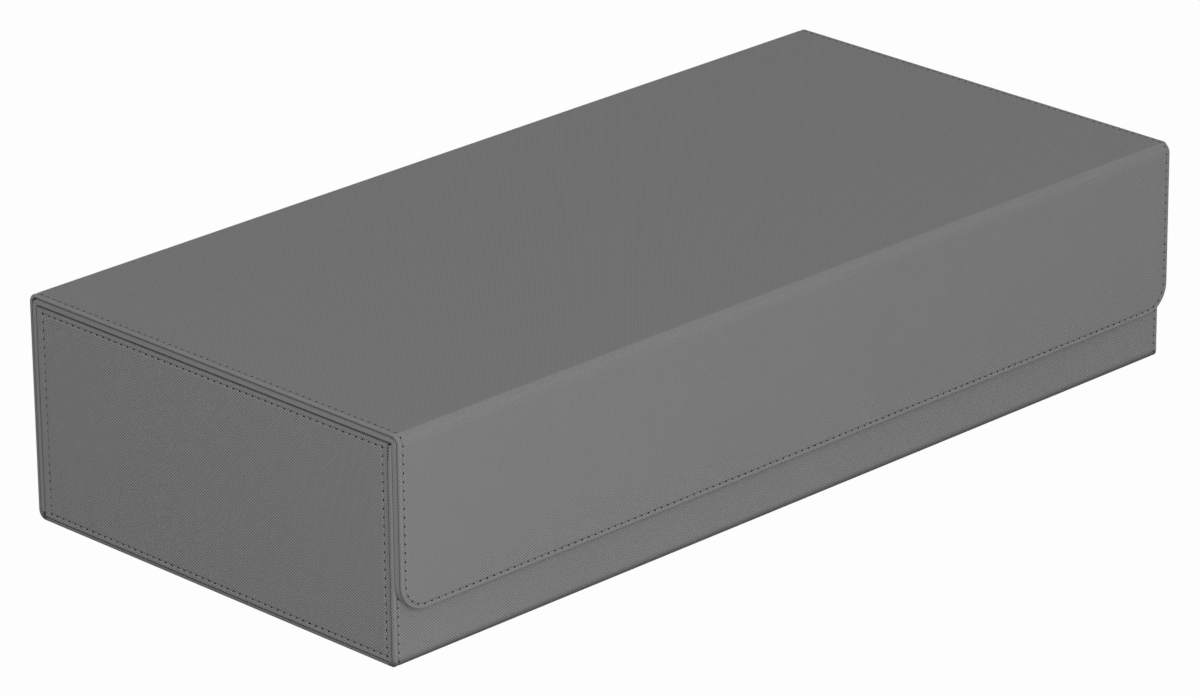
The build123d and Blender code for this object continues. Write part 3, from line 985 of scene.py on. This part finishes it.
class CASE_OT_line_walls(bpy.types.Operator):
    """Line the floor and the walls of the case, and cover the cross boards"""

    bl_idname = "case.line_walls"
    bl_label = "Line the walls and boards"

    def panel(self, name, corners, span, side=1, radii=()):
        """A glued sheet of lining with soft edges, bent along a path through these corners."""
        sizes = bpy.context.scene.case_sizes
        edge = cut_edge(sizes.lining_round, sizes.lining, sizes.lining_strip)
        path = Path(corners, radii)
        rows = stations(path.breaks, [wide, tight] * len(corners))
        return bent_sheet(name, path, edge, sizes.lining, rows, finish_of("suede", suede), side, span)

    def end_panel(self, name, side):
        """The lining of an end wall: a sheet made along X, with X and Y then swapped."""
        low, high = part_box(f"{name}_end_lining")
        face = high.x if side < 0 else low.x
        piece = self.panel(f"{name}_end_suede", [(face, low.z), (face, high.z)], (low.y, high.y), side)
        swap = Matrix(((0, 1, 0, 0), (1, 0, 0, 0), (0, 0, 1, 0), (0, 0, 0, 1)))
        piece.data.transform(swap)
        piece.data.flip_normals()
        return piece

    def execute(self, context):
        sizes = context.scene.case_sizes
        pieces = {}
        low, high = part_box("floor_lining")
        corners = [(low.y, high.z), (high.y, high.z)]
        pieces["floor_lining"] = self.panel("floor_suede", corners, (low.x, high.x))
        low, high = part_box("front_lining")
        corners = [(high.y, high.z), (high.y, low.z)]
        pieces["front_lining"] = self.panel("front_suede", corners, (low.x, high.x))
        low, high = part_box("back_wall_lining")
        corners = [(low.y, low.z), (low.y, high.z), (high.y, high.z)]
        radii = [sizes.rim_radius]
        pieces["back_wall_lining"] = self.panel("back_suede", corners, (low.x, high.x), radii=radii)
        pieces["left_end_lining"] = self.end_panel("left", -1)
        pieces["right_end_lining"] = self.end_panel("right", 1)
        bodies = {"bay_wall": "case", "partition_1": "partition_1", "partition_2": "partition_2"}
        lining = finish_of("suede", suede)
        for node in bodies:
            low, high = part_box(node)
            pieces[node] = rounded_board(f"{node}_covered", low, high, sizes.board_round, lining)
        for node, piece in pieces.items():
            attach(piece, bodies.get(node, "case"))
            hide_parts(node)
        return {"FINISHED"}


def stitch_shape(sewing):
    """One stitch in its own frame: along, across and up, with its quads and its end caps.

    A tube whose middle line rises as 1 - t^2 and dives at its ends, and thins out there.
    """
    sides, rings = 6, 7
    t = np.linspace(-1, 1, rings)[:, None]
    turn = np.arange(sides)[None, :] * 2 * math.pi / sides
    thin = sewing.thread * np.sqrt(1.02 - t**4)
    lift = sewing.thread * (0.9 - 0.5 * t**2 - 1.6 * t**6)
    along = np.broadcast_to(t * (sewing.pitch / 2 - 1.05 * sewing.hole), (rings, sides))
    points = np.stack([along, thin * np.cos(turn), lift + thin * np.sin(turn)], -1).reshape(-1, 3)
    index = np.arange(rings * sides).reshape(rings, sides)
    walls = quads(np.concatenate([index, index[:, :1]], 1))
    return points, walls, index[[0, -1]]


def hole_shade_shape(sewing):
    """One needle hole in its own frame: a flat dark lens that paints the shade inside the hole."""
    sides = 8
    turn = np.arange(sides) * 2 * math.pi / sides
    ring = np.stack([sewing.hole * np.cos(turn), 0.8 * sewing.hole * np.sin(turn), 0 * turn], -1)
    crown = 0.12 * sewing.hole
    points = np.concatenate([ring, [[0, 0, crown], [0, 0, -crown]]])
    near = np.arange(sides)
    after = (near + 1) % sides
    top = np.stack([near, after, np.full(sides, sides)], -1)
    under = np.stack([after, near, np.full(sides, sides + 1)], -1)
    return points, np.concatenate([top, under])


def lay_out(shape, places, headings):
    """Copies of a shape turned to each heading and moved to each place on the flat sheet."""
    along, across, up = shape[:, 0], shape[:, 1], shape[:, 2]
    cos, sin = np.cos(headings)[:, None], np.sin(headings)[:, None]
    x = places[:, :1] + along * cos - across * sin
    s = places[:, 1:] + along * sin + across * cos
    return x, s, np.broadcast_to(up, x.shape)


def sew(name, rows, place):
    """Stitches and needle holes along rows on a flat sheet, which place bends to the sheet's real shape.

    They lie on the floor of the groove. Returns one piece with thread and the painted shade of the holes as
    its two finishes.
    """
    sewing = bpy.context.scene.case_sewing
    tube, walls, caps = stitch_shape(sewing)
    lens, facets = hole_shade_shape(sewing)
    points, thread_faces, hole_shade_faces, start = [], [], [], 0
    for row in rows:
        count = max(1, round(row.length / sewing.pitch))
        holes = np.linspace(0, row.length, count + 1)
        middles = (holes[1:] + holes[:-1]) / 2
        for shape, at, lift in ((tube, middles, 0.0), (lens, holes, sewing.hole_lift)):
            x, s, up = lay_out(shape, *row.at(at))
            points.append(place(x, s, up + lift - sewing.groove_depth).reshape(-1, 3))
            first = start + np.arange(len(at))[:, None, None] * len(shape)
            if shape is tube:
                thread_faces += (first + walls).reshape(-1, walls.shape[1]).tolist()
                thread_faces += (first + caps).reshape(-1, caps.shape[1]).tolist()
            else:
                hole_shade_faces += (first + facets).reshape(-1, facets.shape[1]).tolist()
            start += len(at) * len(shape)
    piece = make_piece(name, np.concatenate(points), thread_faces + hole_shade_faces, finish_of("thread", thread))
    piece.data.materials.append(finish_of("needle_hole", needle_hole))
    finish = np.repeat([0, 1], [len(thread_faces), len(hole_shade_faces)]).astype(np.int32)
    piece.data.polygons.foreach_set("material_index", finish)
    return piece


class CASE_OT_sew(bpy.types.Operator):
    """Sew the edges of the cover, the front wall and the end panels"""

    bl_idname = "case.sew"
    bl_label = "Sew the seams"

    def cover_rows(self, path):
        """The row down one side of the lid and flap, round the flap's foot and up the other side."""
        sizes, sewing, _ = settings()
        x = half_length - sewing.inset
        foot = path.length - sewing.inset
        radius = sizes.flap_corner - sewing.inset
        return [Path([(-x, 0.0), (-x, foot), (x, foot), (x, 0.0)], [radius, radius])]

    def side_rows(self, start, end):
        """Two straight rows beside the ends of a sheet."""
        x = half_length - bpy.context.scene.case_sewing.inset
        return [Path([(sign * x, start), (sign * x, end)]) for sign in (-1, 1)]

    def execute(self, context):
        def bent(path, side=-1):
            return lambda x, s, height: on_sheet(path, x, s, height, side)

        path = cover_path()
        seam = sew("lid_flap_stitches", self.cover_rows(path), bent(path))
        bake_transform(seam)
        path = cover_lining_path()
        seam = sew("lid_flap_inner_stitches", self.cover_rows(path), bent(path, 1))
        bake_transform(seam)
        path = back_path()
        seam = sew("back_stitches", self.side_rows(path.breaks[2], path.length), bent(path))
        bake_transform(seam)
        path = front_path()
        seam = sew("front_stitches", self.side_rows(*path.breaks[2:4]), bent(path))
        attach(seam, "case")

        low, high, front, back = panel_stitches()
        corners = [(front, low), (back, low), (back, high), (front, high), (front, low)]
        rows = [Path([near, far]) for near, far in zip(corners, corners[1:])]
        for name, sign in (("left", -1), ("right", 1)):

            def upright(y, z, height, sign=sign):
                return np.stack([sign * (half_length + height), y, z], -1)

            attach(sew(f"{name}_end_stitches", rows, upright), "case")
        return {"FINISHED"}


class CASE_OT_finish_fittings(bpy.types.Operator):
    """Give the boards, magnets, channels, tray and dividers their finishes"""

    bl_idname = "case.finish_fittings"
    bl_label = "Finish the fittings"

    def execute(self, context):
        finishes = {
            "board": finish_of("grey_board", grey_board),
            "magnet": finish_of("nickel", nickel),
            "channel": finish_of("channel_plastic", moulded("channel", 2400.0, 0.55)),
            "tray": finish_of("tray_plastic", moulded("tray", 1500.0, 0.58)),
            "divider": finish_of("divider_film", moulded("divider", 3000.0, 0.45)),
        }
        for part in frame["record"]["subparts"]:
            finish = finishes.get(part["material_slot"])
            if finish is not None:
                mesh = frame["nodes"][part["node"]].data
                mesh.materials.clear()
                mesh.materials.append(finish)
        return {"FINISHED"}


class CASE_OT_set_stage(bpy.types.Operator):
    """Set the pale floor, the soft lights and the camera"""

    bl_idname = "case.set_stage"
    bl_label = "Set the stage"

    def seen(self, shading):
        """1 for rays that come from the camera, from gloss or through glass."""
        ray = shading.node("ShaderNodeLightPath", {}, {})
        direct = ray["Is Camera Ray"].math("MAXIMUM", ray["Is Glossy Ray"])
        return direct.math("MAXIMUM", ray["Is Transmission Ray"])

    def floor(self, scene):
        """A wide pale floor that a view sees as white with the shadow of the case."""
        stage = scene.case_stage
        corners = np.array([(-1, -1), (1, -1), (1, 1), (-1, 1)]) * stage.floor_side
        mesh = bpy.data.meshes.new("floor")
        mesh.from_pydata([(x, y, -stage.floor_drop) for x, y in corners], [], [(0, 1, 2, 3)])
        paint = bpy.data.materials.new("floor_paint")
        shading = Shading(paint)
        cloud = shading.noise(shading.place(), 3.0)
        tone = shading.tone(scene.case_colours.floor, 0.99 + cloud * 0.02)
        lit = shading.node("ShaderNodeBsdfDiffuse", {}, {"Color": tone})["BSDF"]
        white = shading.node("ShaderNodeEmission", {}, {"Color": (1, 1, 1, 1), "Strength": 1.0})["Emission"]
        mix = {"Fac": self.seen(shading) * stage.white, "Shader": lit, "Shader_001": white}
        mixed = shading.node("ShaderNodeMixShader", {}, mix)["Shader"]
        shading.node("ShaderNodeOutputMaterial", {}, {"Surface": mixed})
        mesh.materials.append(paint)
        floor = bpy.data.objects.new("floor", mesh)
        scene.collection.objects.link(floor)

    def world(self, scene):
        """Even light from all round, which a view sees as white."""
        level = scene.case_stage.world
        scene.world = bpy.data.worlds.new("studio")
        shading = Shading(scene.world)
        sky = {"Color": (1, 1, 1, 1), "Strength": self.seen(shading) * (1 - level) + level}
        light = shading.node("ShaderNodeBackground", {}, sky)["Background"]
        shading.node("ShaderNodeOutputWorld", {}, {"Surface": light})

    def lamp(self, scene, name):
        """A square soft lamp, turned to the middle of the case."""
        stage = scene.case_stage
        light = bpy.data.lights.new(f"{name}_lamp", "AREA")
        light.energy = getattr(stage, f"{name}_light")
        light.size = getattr(stage, f"{name}_size")
        lamp = bpy.data.objects.new(f"{name}_lamp", light)
        lamp.location = getattr(stage, f"{name}_place")
        lamp.rotation_mode = "QUATERNION"
        lamp.rotation_quaternion = (Vector((0, 0, lid_top / 2)) - lamp.location).to_track_quat("-Z", "Y")
        scene.collection.objects.link(lamp)

    def camera(self, scene):
        """The camera, turned about its line of sight by its roll."""
        stage = scene.case_stage
        lens = bpy.data.cameras.new("view")
        lens.lens = stage.lens
        lens.sensor_fit = "HORIZONTAL"
        lens.clip_end = 100.0
        camera = bpy.data.objects.new("view", lens)
        turn = Vector(stage.aim).to_track_quat("-Z", "Y").to_matrix().to_4x4()
        camera.matrix_world = Matrix.Translation(stage.place) @ turn @ Matrix.Rotation(stage.roll, 4, "Z")
        scene.collection.objects.link(camera)
        scene.camera = camera

    def execute(self, context):
        scene = context.scene
        scene.view_settings.view_transform = "Standard"
        self.floor(scene)
        self.world(scene)
        for name in ("front", "back", "right"):
            self.lamp(scene, name)
        self.camera(scene)
        return {"FINISHED"}


class CASE_PT_steps(bpy.types.Panel):
    """The steps of making the case, in order"""

    bl_label = "Card Case"
    bl_space_type = "VIEW_3D"
    bl_region_type = "UI"
    bl_category = "Card Case"

    def draw(self, context):
        for step in STEPS:
            self.layout.operator(step.bl_idname)
        for name, group in GROUPS.items():
            box = self.layout.box()
            box.label(text=group.__doc__)
            for key in group.__annotations__:
                box.prop(getattr(context.scene, name), key)


STEPS = (
    CASE_OT_cover_lid,
    CASE_OT_cover_back,
    CASE_OT_cover_walls,
    CASE_OT_line_cover,
    CASE_OT_line_walls,
    CASE_OT_sew,
    CASE_OT_finish_fittings,
    CASE_OT_set_stage,
)
GROUPS = {
    "case_sizes": CoverSizes,
    "case_sewing": SewingSizes,
    "case_wear": WearAndShadeSizes,
    "case_twill": TwillSizes,
    "case_colours": FinishColours,
    "case_stage": StageSizes,
}


def register():
    """Add the settings, the steps and the panel to Blender."""
    for group in (*GROUPS.values(), *STEPS, CASE_PT_steps):
        bpy.utils.register_class(group)
    for name, group in GROUPS.items():
        setattr(bpy.types.Scene, name, PointerProperty(type=group))


def unregister():
    """Take them out again."""
    for name in GROUPS:
        delattr(bpy.types.Scene, name)
    for group in reversed((*GROUPS.values(), *STEPS, CASE_PT_steps)):
        bpy.utils.unregister_class(group)


def main():
    """Make the case step by step."""
    register()
    bpy.ops.case.cover_lid()
    bpy.ops.case.cover_back()
    bpy.ops.case.cover_walls()
    bpy.ops.case.line_cover()
    bpy.ops.case.line_walls()
    bpy.ops.case.sew()
    bpy.ops.case.finish_fittings()
    bpy.ops.case.set_stage()


if __name__ == "__main__":
    main()
